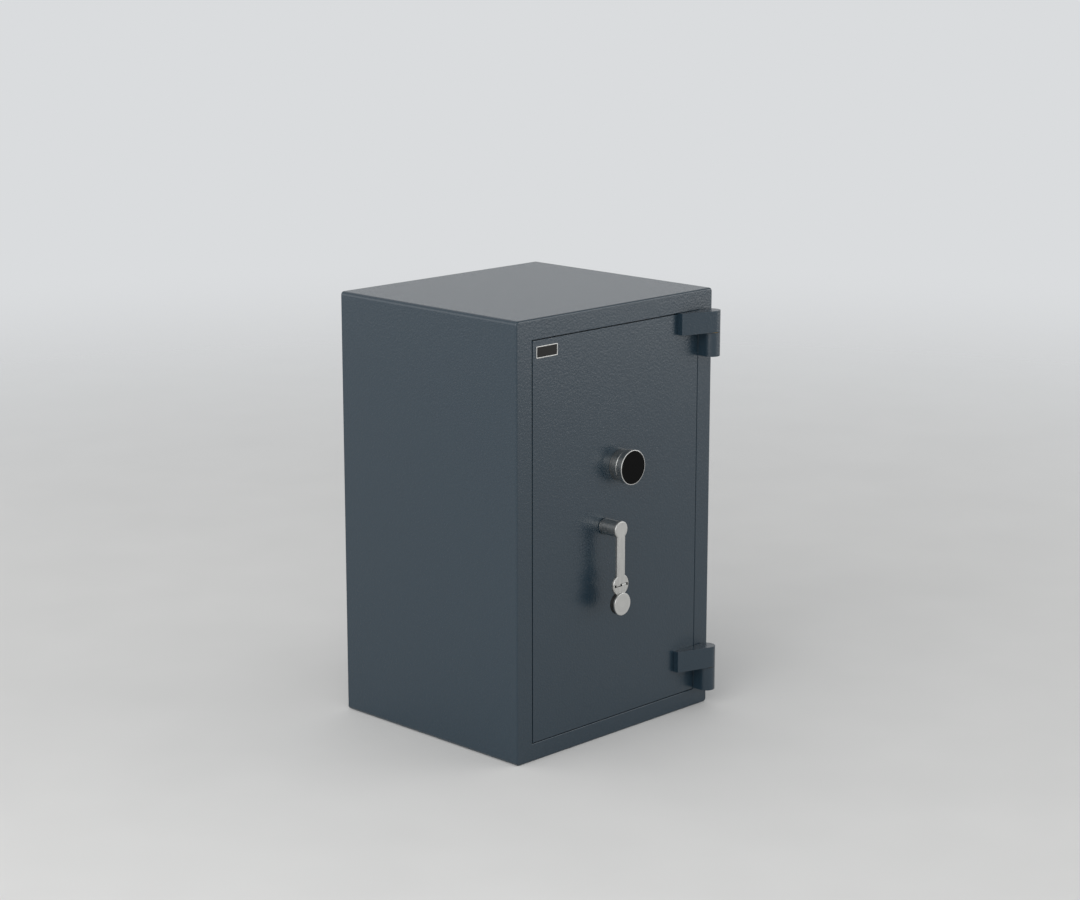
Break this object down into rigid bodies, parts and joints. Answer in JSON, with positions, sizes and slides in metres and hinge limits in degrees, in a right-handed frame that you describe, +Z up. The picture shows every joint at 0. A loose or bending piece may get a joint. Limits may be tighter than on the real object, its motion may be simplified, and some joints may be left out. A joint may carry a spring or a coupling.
{
  "type": "safe",
  "caption": "Floor-standing steel safe with a hinged door, turning lock knob, lever handle with folding grip, rack-driven round bolts and shelves.",
  "frame": {"origin": "centre of the cabinet's underside", "axes": "+Z up, +X to the right as seen from the front, the door faces -Y"},
  "size_m": [0.6, 0.5865, 0.94],
  "materials": {
    "painted_steel": "semi-gloss blue-grey enamel with fine orange peel",
    "satin_steel": "satin turned and brushed",
    "bare_steel": "plain machined steel",
    "brass": "machined",
    "barrier_fill": "cast concrete",
    "black_face": "smooth black",
    "seal_strip": "matt intumescent strip"
  },
  "bodies": {
    "cabinet": {"outer_shell": "painted_steel", "back_plate": "painted_steel", "door_frame": "painted_steel", "frame_seal": "seal_strip", "body_fill": "barrier_fill", "inner_liner": "painted_steel", "anchor_sleeve": "bare_steel", "shelf_rails": "bare_steel", "shelf_clips": "satin_steel", "upper_shelf": "painted_steel", "lower_shelf": "painted_steel", "upper_hinge_barrel": "painted_steel", "lower_hinge_barrel": "painted_steel", "upper_hinge_pin": "satin_steel", "lower_hinge_pin": "satin_steel", "hinge_washers": "brass"},
    "door": {"door_plate": "painted_steel", "door_pan": "painted_steel", "door_fill": "barrier_fill", "hard_plate": "bare_steel", "boltwork_case": "painted_steel", "back_cover": "painted_steel", "cover_screws": "satin_steel", "dog_bar": "bare_steel", "upper_hinge_strap": "painted_steel", "lower_hinge_strap": "painted_steel", "badge_plate": "black_face", "badge_rim": "satin_steel", "handle_rosette": "bare_steel", "spindle_bush": "brass", "lock_base": "satin_steel", "lock_sleeve": "bare_steel", "lock_case": "bare_steel", "lock_cover": "satin_steel", "lock_screws": "bare_steel", "guide_studs": "satin_steel"},
    "handle": {"handle_arm": "satin_steel", "handle_hub": "satin_steel", "hub_screw": "bare_steel", "handle_spindle": "bare_steel", "drive_pinion": "brass", "spindle_nut": "satin_steel", "fold_pin": "bare_steel"},
    "grip": {"grip_leaf": "satin_steel", "grip_knob": "black_face", "knob_cap": "satin_steel", "knob_screw": "bare_steel"},
    "side_bolt_set": {"side_bolt_bar": "bare_steel", "side_bolts": "satin_steel", "side_bolt_nuts": "satin_steel"},
    "top_bolt_set": {"top_rod": "bare_steel", "top_bolt": "satin_steel"},
    "bottom_bolt_set": {"bottom_rod": "bare_steel", "bottom_bolt": "satin_steel"},
    "lock_knob": {"lock_ring": "satin_steel", "lock_face": "black_face", "lock_spindle": "bare_steel"},
    "lock_blade": {"lock_bolt": "brass"}
  },
  "joints": [
    {"name": "door_swing", "type": "hinge", "parent": "cabinet", "child": "door", "pos_m": [0.2743, -0.287, 0.47], "axis": [0, 0, 1], "range_deg": [0, 180]},
    {"name": "handle_turn", "type": "hinge", "parent": "door", "child": "handle", "pos_m": [-0.0385, -0.266, 0.47], "axis": [0, 1, 0], "range_deg": [0, 90]},
    {"name": "grip_fold", "type": "hinge", "parent": "handle", "child": "grip", "pos_m": [-0.0385, -0.31355, 0.35], "axis": [-1, 0, 0], "range_deg": [0, 90]},
    {"name": "side_bolt_slide", "type": "slide", "parent": "door", "child": "side_bolt_set", "axis": [-1, 0, 0], "range_m": [0, 0.022]},
    {"name": "top_bolt_slide", "type": "slide", "parent": "door", "child": "top_bolt_set", "axis": [0, 0, 1], "range_m": [0, 0.022]},
    {"name": "bottom_bolt_slide", "type": "slide", "parent": "door", "child": "bottom_bolt_set", "axis": [0, 0, -1], "range_m": [0, 0.022]},
    {"name": "lock_turn", "type": "hinge", "parent": "door", "child": "lock_knob", "pos_m": [0.01, -0.266, 0.5945], "axis": [0, 1, 0], "range_deg": [0, 90]},
    {"name": "lock_bolt_slide", "type": "slide", "parent": "door", "child": "lock_blade", "axis": [0, 0, -1], "range_m": [0, 0.0095]}
  ],
  "couplings": [
    {"joint": "side_bolt_slide", "follows": "handle_turn", "m_per_rad": 0.014},
    {"joint": "top_bolt_slide", "follows": "handle_turn", "m_per_rad": 0.014},
    {"joint": "bottom_bolt_slide", "follows": "handle_turn", "m_per_rad": 0.014},
    {"joint": "lock_bolt_slide", "follows": "lock_turn", "m_per_rad": 0.006}
  ]
}
